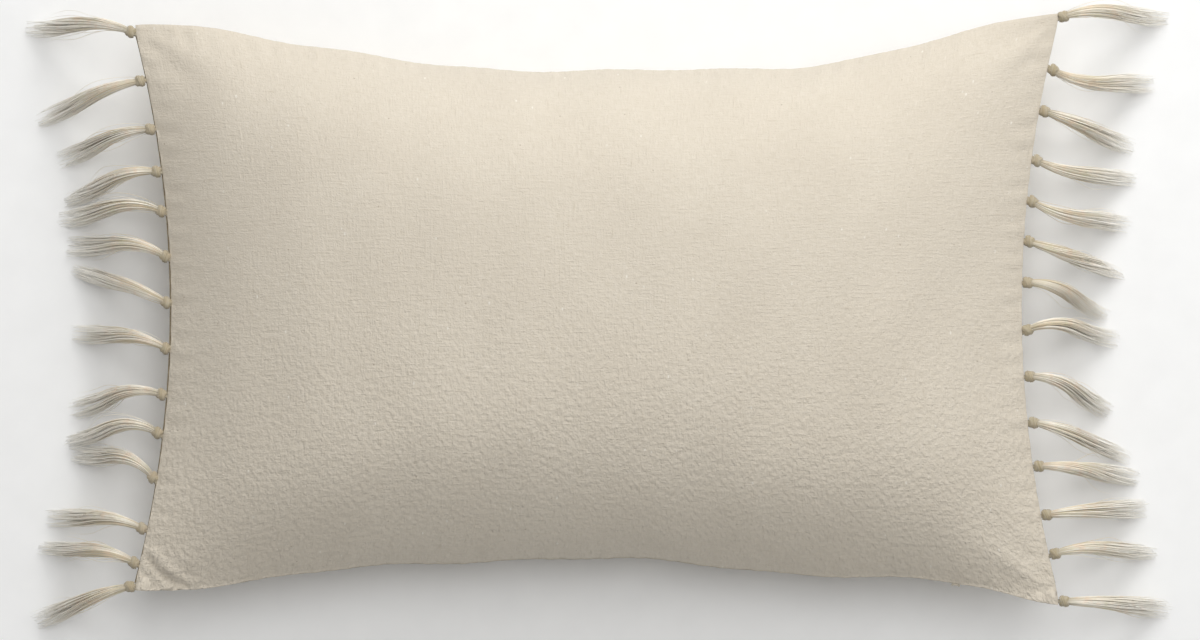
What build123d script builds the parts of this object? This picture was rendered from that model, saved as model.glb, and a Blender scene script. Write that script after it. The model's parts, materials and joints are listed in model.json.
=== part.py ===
from build123d import *
import os
from math import asin, atan2, cos, degrees, hypot, radians, sin

# A lumbar throw pillow: a linen cover with a knotted tassel fringe along both short ends, a
# concealed zipper in its bottom seam, and a fibre-filled insert inside. It lies on its back.
# X runs along the pillow, +Y towards its top seam, +Z out of its front face. The origin is the
# middle of the flat patch that it rests on. Millimetres.

# Cover, filled
half_length = 320.0  # middle to a corner, along X
half_width = 198.0  # middle to a corner, along Y
end_pull = 26.0  # how far each short seam is drawn in at its middle
top_pull = 35.0  # how far the top seam is drawn in at its middle
bottom_pull = 25.0  # the same for the bottom seam, which the zipper's tapes stiffen
seam_height = 52.0  # the seam above the surface the pillow lies on
front_rise = 93.0  # crown of the front above its folded edge
back_drop = 55.0  # crown of the back below its folded edge, before it is pressed flat
fullness = 0.7  # how far the crown holds its height before it falls away
cloth = 1.0  # thickness
seam_allowance = 16.0
strip_margin = 25.0  # the folded edges meet along the top seam up to this far from its corners

# Tassel fringe
tassels_per_end = 14
corner_margin = 7.0  # the first tassel from its corner, along the seam
tape_width = 12.0
tape_setback = 0.3  # tape edge inside the seam line
tape_end_margin = 5.0
root_gap = 0.6  # between the seam line and the root of a tassel
neck_radius = 1.2  # of the loop that ties a tassel to its tape
neck_length = 3.4
knot_radius = 4.1
knot_length = 8.0
waist_radius = 2.6
skirt_radius = 5.4
tip_radius = 4.4
tassel_length = 90.0  # root to tip
floor_gap = 0.5
# Each tassel's place along its seam, from 1 at the top to -1 at the bottom: the right-hand row
# is even, and the left-hand one has its last two tassels close together
left_places = [
    1.0, 0.83, 0.665, 0.5, 0.335, 0.17, 0.0, -0.16, -0.325, -0.49, -0.645, -0.81, -0.93, -1.0
]
right_places = [1 - 2 * n / (tassels_per_end - 1) for n in range(tassels_per_end)]

# How far each tassel's tip lies towards +Y from its root, as a share of the row's half length
left_drifts = [
    0.035, -0.117, -0.097, -0.09, -0.014, 0.056, 0.117, 0.062, -0.056, -0.007, 0.083, 0.042,
    0.035, -0.123
]
right_drifts = [
    0.021, -0.049, -0.103, -0.062, -0.083, -0.103, -0.103, -0.028, -0.11, -0.103, -0.049,
    0.014, -0.007, -0.042
]

# Concealed zipper
zip_length = 510.0
zip_setback = 4.0  # chain inside the seam line
chain_width = 3.6  # the two coils meshed
coil_height = 1.1  # of each coil, from the seam's plane
coil_gap = 0.1  # between the two coils
zip_tape_width = 10.4
zip_tape = 0.5  # thickness of each tape
slider_length = 9.0
slider_wall = 0.7
slider_play = 0.3
channel_play = 0.5  # between the slider and the cloth round it
stop_length = 3.0
neck_half = 0.8  # half the thickness of the slider's neck
mouth_play = 0.3
fork_half_height = 1.6
fork_wall = 0.75
fork_base = 0.8
fork_standoff = 0.4  # fork base outside the seam line
pull_pin_radius = 0.5
pull_eye_radius = 1.2
pull_pin_play = 0.1
pull_side_play = 0.3
pull_width = 3.4
pull_thickness = 1.0
pull_length = 17.0

# Thread, insert and filling
thread_radius = 0.25
thread_rest = 0.05  # between a thread and the cloth it lies on
thread_margin = 30.0  # a seam's thread ends this far from the corners
seam_line = 6.0  # stitch line inside the seam edge
zip_stitch_line = 13.0
insert_inset = 21.0  # insert edge inside the cover's seam
insert_clearance = 1.5
ticking = 0.8  # thickness of the insert's cloth
insert_allowance = 6.0
insert_stitch_line = 3.0
fill_inset = 8.0  # filling inside the insert's own seam
fill_clearance = 0.4
fill_step = 1.0  # the filling's lower half is this much smaller all round

GRID = 12  # spans each way of a crown's surface

front_base = seam_height + zip_tape  # the cloths lie this far apart, with the tapes between
back_base = seam_height - zip_tape
front_edge = front_base + cloth  # each crown starts from the far side of its folded edge
back_edge = back_base - cloth
top_radius = half_length**2 / (2 * top_pull)
bottom_radius = half_length**2 / (2 * bottom_pull)
end_radius = half_width**2 / (2 * end_pull)
top_centre = (0, half_width - top_pull + top_radius)
bottom_centre = (0, bottom_pull - half_width - bottom_radius)

os.makedirs("parts", exist_ok=True)


def swell(t):
    """Crown across the pillow: 1 at the middle, 0 at a seam, held up in between by fullness."""
    return (1 - t * t) * (1 + fullness * t * t)


def crowned(inset, rise, base):
    """Closed solid between the plane z = base and a crown over the drawn-in outline."""
    even_pull = (top_pull + bottom_pull) / 2
    uneven_pull = (top_pull - bottom_pull) / 2
    rows = []
    for i in range(GRID + 1):
        u = 2 * i / GRID - 1
        row = []
        for j in range(GRID + 1):
            v = 2 * j / GRID - 1
            x = u * (half_length - inset - end_pull * (1 - v * v))
            y = v * (half_width - inset) - (even_pull * v + uneven_pull * v * v) * (1 - u * u)
            row.append(Vector(x, y, base + rise * swell(u) * swell(v)))
        rows.append(row)
    dome = Face.make_surface_from_array_of_points(rows)
    return Solid(Shell([dome, Face(Wire(dome.edges()))]))


def pressed(solid, level):
    """The solid with everything below the level cut away, as the surface under it presses it."""
    return split(solid, bisect_by=Plane.XY.offset(level), keep=Keep.TOP, mode=Mode.PRIVATE)


def outline(inset):
    """Drawn-in rectangle of four arcs, inside the seam line by inset."""
    x, y = half_length - inset, half_width - inset
    with BuildLine() as edge:
        ThreePointArc((-x, -y), (0, bottom_pull - y), (x, -y))
        ThreePointArc((x, -y), (x - end_pull, 0), (x, y))
        ThreePointArc((x, y), (0, y - top_pull), (-x, y))
        ThreePointArc((-x, y), (end_pull - x, 0), (-x, -y))
    return make_face(edge.edges(), mode=Mode.PRIVATE)


def arc_strip(centre, radius, width, start, sweep_angle):
    """Face between two arcs about a centre: radius to radius + width."""
    with BuildLine() as edge:
        near = CenterArc(centre, radius, start, sweep_angle)
        far = CenterArc(centre, radius + width, start, sweep_angle)
        Line(near @ 0, far @ 0)
        Line(near @ 1, far @ 1)
    return make_face(edge.edges(), mode=Mode.PRIVATE)


def on_zip(distance):
    """Angle on the zipper's arc at a distance along it, towards the right end."""
    return 90 - degrees(distance / bottom_radius)


def zip_span(setback, width, low_end, high_end):
    """Face on the zipper's arc, setback inside the seam line, between two distances."""
    return arc_strip(
        bottom_centre,
        bottom_radius + setback,
        width,
        on_zip(high_end),
        on_zip(low_end) - on_zip(high_end),
    )


def turned_in_edge(inset, wall, allowance, base, up):
    """The flat strip of a cloth folded in at its seam, under the crowned cloth's own edge."""
    with BuildSketch(Plane.XY.offset(base)) as strip:
        add(outline(inset + wall / 2))
        add(outline(inset + allowance), mode=Mode.SUBTRACT)
    extrude(strip.sketch, amount=up * wall)


def top_meeting_strip(amount):
    """The thicker stretch of folded edge along the top seam, where no tape fills the seam."""
    with BuildSketch(Plane.XY.offset(seam_height)) as strip:
        add(
            arc_strip(
                top_centre,
                top_radius + cloth,
                seam_allowance - 2 * cloth,
                270 - top_half,
                2 * top_half,
            )
        )
    extrude(strip.sketch, amount=amount)


def slider_channel():
    """Room for the zipper along the bottom seam: a slit mouth and the channel behind it."""
    reach = zip_length / 2 + stop_length + slider_play
    with BuildSketch(Plane.XY.offset(seam_height)) as mouth:
        add(zip_span(-cloth, cloth + zip_setback, -reach, reach))
    extrude(mouth.sketch, amount=neck_half + mouth_play, both=True, mode=Mode.SUBTRACT)
    with BuildSketch(Plane.XY.offset(seam_height)) as channel:
        add(zip_span(channel_start, channel_width, -reach, reach))
    extrude(channel.sketch, amount=slider_half + channel_play, both=True, mode=Mode.SUBTRACT)


def seam_thread(centre, radius, start, sweep_angle, height):
    """A line of thread laid along an arc."""
    with BuildLine(Plane.XY.offset(height)) as path:
        CenterArc(centre, radius, start, sweep_angle)
    with BuildSketch(Plane(origin=path.line @ 0, z_dir=path.line % 0)) as section:
        Circle(thread_radius)
    sweep(section.sketch, path=path.line)


top_half = degrees(asin((half_length - strip_margin) / top_radius))
end_half = degrees(asin((half_width - tape_end_margin) / (end_radius + tape_width)))
slider_half = coil_height + slider_play + slider_wall
channel_start = zip_setback - slider_play - slider_wall - slider_play
channel_width = chain_width + 2 * slider_play + 2 * slider_wall + channel_play
front_thread = front_base + cloth + thread_radius + thread_rest
back_thread = back_base - cloth - thread_radius - thread_rest

# Front panel: the crowned face, with its edges turned in at the seam
with BuildPart() as front_panel:
    turned_in_edge(0, cloth, seam_allowance, front_base, 1)
    add(crowned(0, front_rise, front_edge) - crowned(cloth, front_rise - cloth, front_edge))
    top_meeting_strip(front_base - seam_height)
    slider_channel()
front_panel.part.label = "front_panel"
export_step(front_panel.part, "parts/front_panel.step")

# Back panel: the same, crowned the other way and pressed flat where it rests
with BuildPart() as back_panel:
    turned_in_edge(0, cloth, seam_allowance, back_base, -1)
    add(
        pressed(crowned(0, -back_drop, back_edge), 0)
        - pressed(crowned(cloth, cloth - back_drop, back_edge), cloth)
    )
    top_meeting_strip(back_base - seam_height)
    slider_channel()
back_panel.part.label = "back_panel"
export_step(back_panel.part, "parts/back_panel.step")

# Thread: one stitch line in each seam, and the two rows that hold the zipper's tapes
top_stitches = degrees(asin((half_length - thread_margin) / top_radius))
bottom_stitches = degrees(asin((half_length - thread_margin) / bottom_radius))
end_stitches = degrees(asin((half_width - thread_margin) / end_radius))
end_centre_x = half_length - end_pull + end_radius

with BuildPart() as top_seam_thread:
    seam_thread(
        top_centre, top_radius + seam_line, 270 - top_stitches, 2 * top_stitches, front_thread
    )
top_seam_thread.part.label = "top_seam_thread"
export_step(top_seam_thread.part, "parts/top_seam_thread.step")

with BuildPart() as bottom_seam_thread:
    zip_end = zip_length / 2 + stop_length + slider_play
    bit = on_zip(zip_end) - (90 - bottom_stitches)
    seam_thread(bottom_centre, bottom_radius + seam_line, 90 - bottom_stitches, bit, front_thread)
    seam_thread(bottom_centre, bottom_radius + seam_line, on_zip(-zip_end), bit, front_thread)
bottom_seam_thread.part.label = "bottom_seam_thread"
export_step(bottom_seam_thread.part, "parts/bottom_seam_thread.step")

with BuildPart() as zipper_stitching:
    start = on_zip(zip_length / 2)
    span = on_zip(-zip_length / 2) - start
    seam_thread(bottom_centre, bottom_radius + zip_stitch_line, start, span, front_thread)
    seam_thread(bottom_centre, bottom_radius + zip_stitch_line, start, span, back_thread)
zipper_stitching.part.label = "zipper_stitching"
export_step(zipper_stitching.part, "parts/zipper_stitching.step")

# Each short end: its stitch line, and the tape that the tassels are tied to
for side_name, side in (("left", -1), ("right", 1)):
    middle = 0 if side < 0 else 180
    centre = (side * end_centre_x, 0)

    with BuildPart() as end_thread:
        seam_thread(
            centre, end_radius + seam_line, middle - end_stitches, 2 * end_stitches, front_thread
        )
    end_thread.part.label = f"{side_name}_seam_thread"
    export_step(end_thread.part, f"parts/{side_name}_seam_thread.step")

    with BuildPart() as tassel_tape:
        with BuildSketch(Plane.XY.offset(back_base)):
            add(
                arc_strip(
                    centre, end_radius + tape_setback, tape_width, middle - end_half, 2 * end_half
                )
            )
        extrude(amount=front_base - back_base)
    tassel_tape.part.label = f"{side_name}_tassel_tape"
    export_step(tassel_tape.part, f"parts/{side_name}_tassel_tape.step")


def end_seam(y):
    """How far from the middle a short seam runs at a height y up the pillow."""
    return half_length - end_pull * (1 - (y / half_width) ** 2)


def tassel_profile():
    """Half of a tassel's outline: a thin root and neck, the knot, and a skirt of yarn."""
    knot_end = neck_length + knot_length
    slope = neck_radius * sin(radians(45))
    with BuildLine() as edge:
        ThreePointArc((-neck_radius, 0), (-slope, slope), (0, neck_radius))
        Line((0, neck_radius), (neck_length, neck_radius))
        ThreePointArc(
            (neck_length, neck_radius),
            (neck_length + knot_length / 2, knot_radius),
            (knot_end, waist_radius),
        )
        Spline(
            (knot_end, waist_radius), (tassel_length / 2, skirt_radius), (tassel_length, tip_radius)
        )
        Line((tassel_length, tip_radius), (tassel_length, 0))
        Line((tassel_length, 0), (-neck_radius, 0))
    return make_face(edge.edges(), mode=Mode.PRIVATE)


# Each tassel droops from its root in the seam until its tip is just off the floor
droop = asin((seam_height - floor_gap) / hypot(tassel_length, tip_radius)) - atan2(
    tip_radius, tassel_length
)
row_half = half_width - corner_margin
for side_name, side, places, drifts in (
    ("left", -1, left_places, left_drifts),
    ("right", 1, right_places, right_drifts),
):
    for number in range(tassels_per_end):
        y = row_half * places[number]
        lean = asin(row_half * drifts[number] / (tassel_length * cos(droop)))
        root = Vector(side * (end_seam(y) + root_gap + neck_radius), y, seam_height)
        along = Vector(side * cos(lean) * cos(droop), sin(lean) * cos(droop), -sin(droop))
        swing_axis = Vector(-sin(lean), side * cos(lean), 0)
        with BuildPart() as tassel:
            with BuildSketch(Plane(origin=root, x_dir=along, z_dir=swing_axis)):
                add(tassel_profile())
            revolve(axis=Axis(root, along))
        name = f"{side_name}_tassel_{number + 1:02d}"
        tassel.part.label = name
        export_step(tassel.part, f"parts/{name}.step")

# Zipper: two tapes face to face in the seam, with a coil along the outer edge of each
for name, face in (("front", 1), ("back", -1)):
    with BuildPart() as zipper_tape:
        with BuildSketch(Plane.XY.offset(seam_height)):
            add(
                zip_span(
                    zip_setback + chain_width, zip_tape_width, -zip_length / 2, zip_length / 2
                )
            )
        extrude(amount=face * zip_tape)
    zipper_tape.part.label = f"zipper_tape_{name}"
    export_step(zipper_tape.part, f"parts/zipper_tape_{name}.step")

    with BuildPart() as zipper_coil:
        with BuildSketch(Plane.XY.offset(seam_height + face * coil_gap / 2)):
            add(zip_span(zip_setback, chain_width, -zip_length / 2, zip_length / 2))
        extrude(amount=face * (coil_height - coil_gap / 2))
    zipper_coil.part.label = f"zipper_coil_{name}"
    export_step(zipper_coil.part, f"parts/zipper_coil_{name}.step")

for name, low_end in (("top", zip_length / 2), ("bottom", -zip_length / 2 - stop_length)):
    with BuildPart() as zipper_stop:
        with BuildSketch(Plane.XY.offset(seam_height)):
            add(zip_span(zip_setback, chain_width, low_end, low_end + stop_length))
        extrude(amount=coil_height, both=True)
    zipper_stop.part.label = f"zipper_{name}_stop"
    export_step(zipper_stop.part, f"parts/zipper_{name}_stop.step")

# Slider, closed against its top stop: plates round the chain, a neck out through the seam's
# mouth, and a fork with the pin that the pull hangs on
slider_middle = zip_length / 2 - slider_length / 2 - slider_play
slider_angle = radians(on_zip(slider_middle))
outwards = Vector(-cos(slider_angle), -sin(slider_angle), 0)
tangent = Vector(sin(slider_angle), -cos(slider_angle), 0)
seam_point = Vector(
    bottom_centre[0] + bottom_radius * cos(slider_angle),
    bottom_centre[1] + bottom_radius * sin(slider_angle),
    seam_height,
)
fork_half_length = pull_width / 2 + pull_side_play + fork_wall
fork_reach = fork_standoff + fork_base
pin_reach = fork_reach + pull_side_play + pull_eye_radius
pin_point = seam_point + outwards * pin_reach
cross_section = Plane(origin=seam_point, x_dir=outwards, z_dir=tangent)  # its own y points down


def slider_span(setback, width, half_height, mode=Mode.ADD):
    """A slab of the slider's length along the zipper's arc."""
    low_end = slider_middle - slider_length / 2
    with BuildSketch(Plane.XY.offset(seam_height)) as slab:
        add(zip_span(setback, width, low_end, low_end + slider_length))
    extrude(slab.sketch, amount=half_height, both=True, mode=mode)


with BuildPart() as zipper_slider:
    slider_span(
        zip_setback - slider_play - slider_wall,
        chain_width + 2 * (slider_play + slider_wall),
        slider_half,
    )
    slider_span(
        zip_setback - slider_play,
        chain_width + 2 * slider_play,
        coil_height + slider_play,
        Mode.SUBTRACT,
    )
    slider_span(
        zip_setback + chain_width,
        2 * (slider_play + slider_wall),
        zip_tape + slider_play,
        Mode.SUBTRACT,
    )
    with BuildSketch(cross_section):
        neck_inner = -(zip_setback - slider_play - slider_wall / 2)
        with Locations(((fork_reach + neck_inner) / 2, 0)):
            Rectangle(fork_reach - neck_inner, 2 * neck_half)
        with Locations((fork_standoff + fork_base / 2, 0)):
            Rectangle(fork_base, 2 * fork_half_height)
    extrude(amount=fork_half_length, both=True)
    for end in (-1, 1):
        inner = end * (fork_half_length - fork_wall)
        with BuildSketch(cross_section.offset(inner)):
            with Locations(((fork_reach + pin_reach) / 2, 0)):
                Rectangle(pin_reach - fork_reach, 2 * fork_half_height)
            with Locations((pin_reach, 0)):
                Circle(fork_half_height)
        extrude(amount=end * fork_wall)
    with BuildSketch(cross_section):
        with Locations((pin_reach, 0)):
            Circle(pull_pin_radius)
    extrude(amount=fork_half_length, both=True)
zipper_slider.part.label = "zipper_slider"
export_step(zipper_slider.part, "parts/zipper_slider.step")

with BuildPart() as zipper_pull:
    with BuildSketch(cross_section):
        with Locations((pin_reach, 0)):
            Circle(pull_eye_radius)
        with Locations((pin_reach, pull_length / 2)):
            Rectangle(pull_thickness, pull_length)
        with Locations((pin_reach, 0)):
            Circle(pull_pin_radius + pull_pin_play, mode=Mode.SUBTRACT)
    extrude(amount=pull_width / 2, both=True)
    fillet(
        zipper_pull.edges().filter_by(Axis(seam_point, outwards)).group_by(Axis.Z)[0],
        pull_width / 2 - pull_pin_play,
    )
zipper_pull.part.label = "zipper_pull"
export_step(zipper_pull.part, "parts/zipper_pull.step")

# Insert: a ticking bag of two panels, its stitch lines, and the fibre inside it
insert_rise = front_rise - cloth - insert_clearance
insert_drop = back_drop - cloth - insert_clearance + zip_tape + cloth - ticking

with BuildPart() as insert_front_panel:
    turned_in_edge(insert_inset, ticking, insert_allowance, seam_height, 1)
    edge = seam_height + ticking
    add(
        crowned(insert_inset, insert_rise, edge)
        - crowned(insert_inset + ticking, insert_rise - ticking, edge)
    )
insert_front_panel.part.label = "insert_front_panel"
export_step(insert_front_panel.part, "parts/insert_front_panel.step")

with BuildPart() as insert_back_panel:
    turned_in_edge(insert_inset, ticking, insert_allowance, seam_height, -1)
    edge = seam_height - ticking
    add(
        pressed(crowned(insert_inset, -insert_drop, edge), cloth)
        - pressed(crowned(insert_inset + ticking, ticking - insert_drop, edge), cloth + ticking)
    )
insert_back_panel.part.label = "insert_back_panel"
export_step(insert_back_panel.part, "parts/insert_back_panel.step")

with BuildPart() as insert_seam_thread:
    height = seam_height + ticking + thread_radius + thread_rest
    line = insert_inset + insert_stitch_line
    reach = half_length - insert_inset - thread_margin
    top_span = degrees(asin(reach / top_radius))
    bottom_span = degrees(asin(reach / bottom_radius))
    end_span = degrees(asin((half_width - insert_inset - thread_margin) / end_radius))
    seam_thread(top_centre, top_radius + line, 270 - top_span, 2 * top_span, height)
    seam_thread(bottom_centre, bottom_radius + line, 90 - bottom_span, 2 * bottom_span, height)
    seam_thread((-end_centre_x, 0), end_radius + line, -end_span, 2 * end_span, height)
    seam_thread((end_centre_x, 0), end_radius + line, 180 - end_span, 2 * end_span, height)
insert_seam_thread.part.label = "insert_seam_thread"
export_step(insert_seam_thread.part, "parts/insert_seam_thread.step")

with BuildPart() as filling:
    inset = insert_inset + fill_inset
    lining = ticking + fill_clearance
    add(crowned(inset, insert_rise - lining, seam_height))
    add(pressed(crowned(inset + fill_step, lining - insert_drop, seam_height), cloth + ticking))
filling.part.label = "filling"
export_step(filling.part, "parts/filling.step")

print(f"tassel droop {degrees(droop):.2f} degrees")
print(f"zipper centre {bottom_centre[0]:.3f}, {bottom_centre[1]:.3f}, radius {bottom_radius:.3f}")
print(f"slider travel {degrees((zip_length - slider_length - 2 * slider_play) / bottom_radius):.3f}")
print(f"pull pivot {pin_point.X:.3f}, {pin_point.Y:.3f}, {pin_point.Z:.3f}")
print(f"pull axis {tangent.X:.5f}, {tangent.Y:.5f}")
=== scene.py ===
# %% [markdown]
# # A fringed linen throw pillow
#
# The pillow is a soft thing with a simple plan: two cloth panels sewn together, drawn in by the
# fibre that fills them, with a row of knotted yarn tassels along each short end. Everything that
# has a place on it, such as a seam or a tassel's root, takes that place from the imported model,
# so we load that first and measure it. Lengths are metres throughout.

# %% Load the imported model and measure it
import json
import math

import bpy
import numpy as np
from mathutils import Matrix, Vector


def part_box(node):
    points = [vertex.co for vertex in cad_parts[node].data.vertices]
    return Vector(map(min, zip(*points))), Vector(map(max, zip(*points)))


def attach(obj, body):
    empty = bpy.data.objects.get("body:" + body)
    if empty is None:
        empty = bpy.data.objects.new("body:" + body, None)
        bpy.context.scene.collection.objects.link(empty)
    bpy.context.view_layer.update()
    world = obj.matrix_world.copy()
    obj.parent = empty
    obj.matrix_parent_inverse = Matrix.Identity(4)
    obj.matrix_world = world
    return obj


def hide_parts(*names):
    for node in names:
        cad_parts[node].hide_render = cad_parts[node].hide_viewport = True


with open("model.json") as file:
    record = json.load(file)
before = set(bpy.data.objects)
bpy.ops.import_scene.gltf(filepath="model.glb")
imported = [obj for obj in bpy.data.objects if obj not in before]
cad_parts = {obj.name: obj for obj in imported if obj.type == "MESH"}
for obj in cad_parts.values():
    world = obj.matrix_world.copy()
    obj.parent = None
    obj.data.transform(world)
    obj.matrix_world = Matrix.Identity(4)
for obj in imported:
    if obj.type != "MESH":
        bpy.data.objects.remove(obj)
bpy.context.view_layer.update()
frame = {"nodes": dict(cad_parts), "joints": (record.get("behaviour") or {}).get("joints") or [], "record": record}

MM = 0.001
front_low, front_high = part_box("front_panel")
seam_z = front_low.z
half_length = front_high.x
half_width = front_high.y
print(f"seam {seam_z / MM:.1f} mm up, corners {half_length / MM:.0f} by {half_width / MM:.0f} mm")

# %% [markdown]
# ## The camera
#
# A flat lay is taken from straight above. A long lens far away keeps the pillow's sides from
# leaning outwards. The distance follows from the lens: the picture is as wide at the seam as
# the sensor is, times distance over focal length.

# %% Camera straight above the pillow
picture_width = 0.829
picture_centre = (0.0035, -0.0086)
camera_data = bpy.data.cameras.new("flat_lay_camera")
camera_data.lens = 120
camera_data.sensor_width = 36
camera = bpy.data.objects.new("flat_lay_camera", camera_data)
distance = picture_width * camera_data.lens / camera_data.sensor_width
camera.location = (*picture_centre, seam_z + distance)
bpy.context.scene.collection.objects.link(camera)
bpy.context.scene.camera = camera
print(f"camera {distance:.2f} m above the seam")

# %% [markdown]
# ## Light
#
# Cloth needs a light from one side, or its weave disappears, and a soft one, or it looks hard.
# One large panel stands beyond the top seam and a little to the right, where it grazes the crown
# and shows every slub. A larger one hangs overhead for the floor and the crown, a weak one
# stands on the right, and an even sky fills the shadows.

# %% Soft key light, fill and a pale floor
def area_light(name, place, target, size, power, colour):
    """A square panel of light at place, turned to face target."""
    data = bpy.data.lights.new(name, "AREA")
    data.size = size
    data.energy = power
    data.color = colour
    light = bpy.data.objects.new(name, data)
    light.location = place
    light.rotation_euler = (Vector(target) - Vector(place)).to_track_quat("-Z", "Y").to_euler()
    bpy.context.scene.collection.objects.link(light)
    return light


area_light("key", (0.6, 2.1, 1.5), (0, 0, 0.05), 1.3, 33, (1, 1, 1))
area_light("overhead", (0.2, 0.8, 2.6), (0, 0, 0.05), 1.8, 28, (1, 1, 1))
area_light("right_fill", (2.2, 0.6, 1.6), (0, 0, 0.05), 1.3, 5.5, (1, 1, 1))

world = bpy.data.worlds.new("studio_sky")
world.use_nodes = True
world.node_tree.nodes["Background"].inputs["Color"].default_value = (1, 1, 1, 1)
world.node_tree.nodes["Background"].inputs["Strength"].default_value = 0.365
bpy.context.scene.world = world
bpy.context.scene.view_settings.view_transform = "Standard"

floor_data = bpy.data.meshes.new("floor")
reach = 4.0
floor_data.from_pydata(
    [(-reach, -reach, 0), (reach, -reach, 0), (reach, reach, 0), (-reach, reach, 0)],
    [],
    [(0, 1, 2, 3)],
)
floor = bpy.data.objects.new("floor", floor_data)
bpy.context.scene.collection.objects.link(floor)

# %% [markdown]
# ## Nodes in a few words
#
# Every finish here is a small graph of nodes. Writing each link out hides the idea, so one
# helper starts a material and others add a node, join it and set its plain values.

# %% Material helpers
class Finish:
    """A material under construction: add() makes a node, and inputs may be values or sockets."""

    def __init__(self, name, roughness, **plain):
        self.material = bpy.data.materials.new(name)
        self.material.use_nodes = True
        self.tree = self.material.node_tree
        self.shader = self.tree.nodes["Principled BSDF"]
        self.shader.inputs["Roughness"].default_value = roughness
        for socket, value in plain.items():
            self.shader.inputs[socket.replace("_", " ")].default_value = value

    def add(self, kind, settings=None, **inputs):
        node = self.tree.nodes.new("ShaderNode" + kind)
        for name, value in (settings or {}).items():
            setattr(node, name, value)
        for name, value in inputs.items():
            socket = node.inputs[int(name[1:])] if name[1:].isdigit() else node.inputs[name]
            self.join(value, socket)
        return node

    def join(self, value, socket):
        if isinstance(value, bpy.types.NodeSocket):
            self.tree.links.new(value, socket)
        else:
            socket.default_value = value

    def maths(self, operation, a, b=0.0, c=0.0):
        return self.add("Math", {"operation": operation}, _0=a, _1=b, _2=c).outputs[0]

    def noise(self, where, scale, detail=3.0, distortion=0.0):
        node = self.add("TexNoise", Vector=where, Scale=scale, Detail=detail)
        node.inputs["Distortion"].default_value = distortion
        return node.outputs["Fac"]

    def stretched(self, where, size_x, size_y):
        """Coordinates scaled so that a noise makes streaks of these sizes along X and Y."""
        return self.add("Mapping", Vector=where, Scale=(1 / size_x, 1 / size_y, 1)).outputs[0]

    def steps(self, value, low, high):
        """0 below low, 1 above high, and even in between."""
        node = self.add("MapRange", _0=value, _1=low, _2=high)
        return node.outputs[0]

    def blend(self, amount, a, b):
        """Colour a where amount is 0, b where it is 1."""
        node = self.add("Mix", {"data_type": "RGBA"})
        self.join(amount, node.inputs[0])
        self.join(a, node.inputs[6])
        self.join(b, node.inputs[7])
        return node.outputs[2]

    def tint(self, tone, pattern, low, high, share, colour):
        """A share of colour laid over tone: none where pattern is low, all of it where high."""
        amount = self.maths("MULTIPLY", self.steps(pattern, low, high), share)
        return self.blend(amount, tone, colour)

    def colour(self, value):
        self.join(value, self.shader.inputs["Base Color"])

    def bump(self, height, depth, strength=1.0, normal=None):
        """Relief of a depth in metres, where height runs from 0 to 1."""
        node = self.add("Bump", Height=height, Distance=depth, Strength=strength)
        if normal is not None:
            self.join(normal, node.inputs["Normal"])
        self.join(node.outputs[0], self.shader.inputs["Normal"])
        return node.outputs[0]


def srgb(red, green, blue):
    """A colour as a screen shows it, 0 to 255, turned into linear light."""
    values = np.array([red, green, blue]) / 255
    linear = np.where(values > 0.04045, ((values + 0.055) / 1.055) ** 2.4, values / 12.92)
    return (*linear.tolist(), 1.0)


paper = Finish("pale_floor", 0.9)
grain = paper.noise(paper.add("TexCoord").outputs["Object"], 40.0)
paper.colour(paper.blend(paper.steps(grain, 0.3, 0.7), srgb(246, 246, 245), srgb(249, 249, 248)))
floor.data.materials.append(paper.material)

# %% [markdown]
# ## Linen
#
# Linen is a plain weave of uneven yarn. Up close each thread goes over one and under one; from
# a step back the eye sees slubs, thick stretches of yarn a centimetre or so long, both ways of
# the cloth, with specks where a bit of husk was spun in. The pattern reads the cloth's own flat
# coordinates, in metres, so it bends with the cloth as real threads do.

# %% Sizes of the linen's patterns
THREAD_PITCH = 0.92 * MM
WAVE_SCALE = math.tau / 20 / THREAD_PITCH  # a wave texture turns by 20 radians per unit
WANDER = 2.2 * MM  # how far a thread strays from straight
# each streak's size along the pillow and across it
WARP_THREAD, WEFT_THREAD = (1.2 * MM, 7 * MM), (7 * MM, 1.2 * MM)
WARP_SLUB, WEFT_SLUB = (1.7 * MM, 17 * MM), (15 * MM, 1.7 * MM)
PALE_THREAD = (1.6 * MM, 7 * MM)
CRINKLE = (3.4 * MM, 4.4 * MM)
FLECK_SPACING = (13 * MM, 21 * MM)
HUSKS_PER_METRE = 62
SLUB_TAN, THREAD_PALE = srgb(186, 172, 150), srgb(238, 232, 220)
HUSK_BROWN, FLECK_WHITE = srgb(128, 108, 82), srgb(246, 242, 232)


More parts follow.
